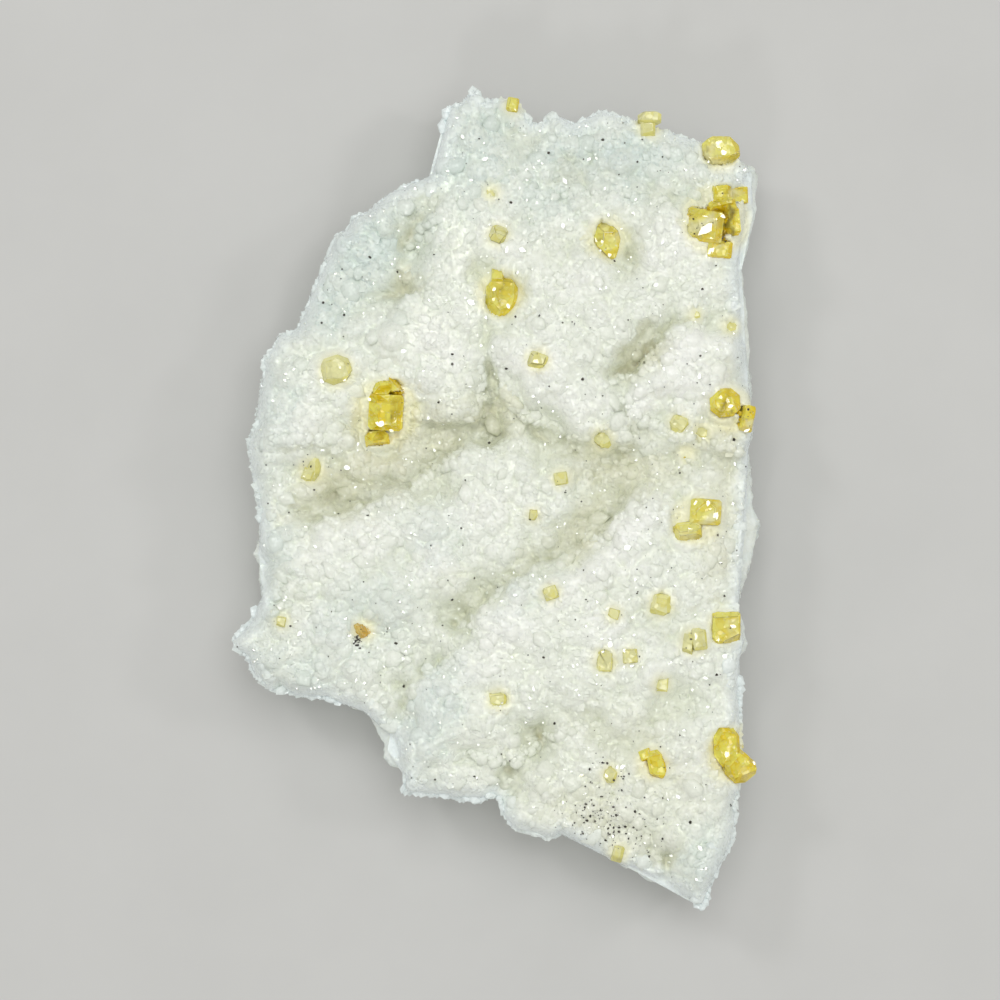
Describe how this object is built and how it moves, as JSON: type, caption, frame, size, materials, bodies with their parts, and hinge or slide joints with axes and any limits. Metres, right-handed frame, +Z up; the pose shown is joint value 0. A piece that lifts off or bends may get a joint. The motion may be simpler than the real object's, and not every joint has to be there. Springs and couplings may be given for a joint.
{
  "type": "barite specimen on quartz matrix",
  "caption": "Slab of white drusy quartz with golden barite crystals seated in its sparkling crust; lies on its flat broken back as a display mineral.",
  "frame": {"origin": "under the middle of the specimen's box, on the surface that it rests on", "axes": "+Z up out of the crystal crust, +Y to the north tip along the slab's length, +X to its straight east side"},
  "size_m": [0.0727, 0.1116, 0.0217],
  "materials": {
    "milky_quartz": "milky white drusy crust of small glassy crystal heads with warm grey crevices, and a dull bluish white broken rind on the sides and back",
    "golden_barite": "clear deep golden crystal, glassy faces with growth steps and small frosted patches",
    "pale_barite": "clear pale lemon crystal, glassy with frosted edges",
    "orange_barite": "clear orange gold crystal",
    "dark_sulfide": "tiny blackish metallic sulfide grains"
  },
  "bodies": {
    "root": {"matrix": "milky_quartz", "barite_centre_block": "golden_barite", "barite_centre_bud": "pale_barite", "barite_centre_speck": "pale_barite", "barite_centre_tablet": "pale_barite", "barite_east_dark": "golden_barite", "barite_east_left": "pale_barite", "barite_east_low": "pale_barite", "barite_east_pair": "golden_barite", "barite_east_rim": "pale_barite", "barite_east_speck": "pale_barite", "barite_east_wing": "golden_barite", "barite_north_bud": "pale_barite", "barite_north_corner": "golden_barite", "barite_north_edge": "pale_barite", "barite_north_leaf": "golden_barite", "barite_north_speck": "pale_barite", "barite_north_tip": "golden_barite", "barite_northeast_cluster": "golden_barite", "barite_plateau_block": "pale_barite", "barite_ridge_bud": "pale_barite", "barite_ridge_pale": "pale_barite", "barite_ridge_rectangle": "pale_barite", "barite_ridge_speck": "pale_barite", "barite_south_bud": "pale_barite", "barite_south_edge": "pale_barite", "barite_south_pale": "pale_barite", "barite_south_tower": "golden_barite", "barite_southeast_bud": "pale_barite", "barite_southeast_cube": "golden_barite", "barite_southeast_pair": "pale_barite", "barite_southeast_point": "golden_barite", "barite_southwest_orange": "orange_barite", "barite_southwest_speck": "pale_barite", "barite_southwest_tablet": "pale_barite", "barite_west_block": "golden_barite", "barite_west_foot": "pale_barite", "barite_west_tablet": "pale_barite"}
  },
  "joints": []
}
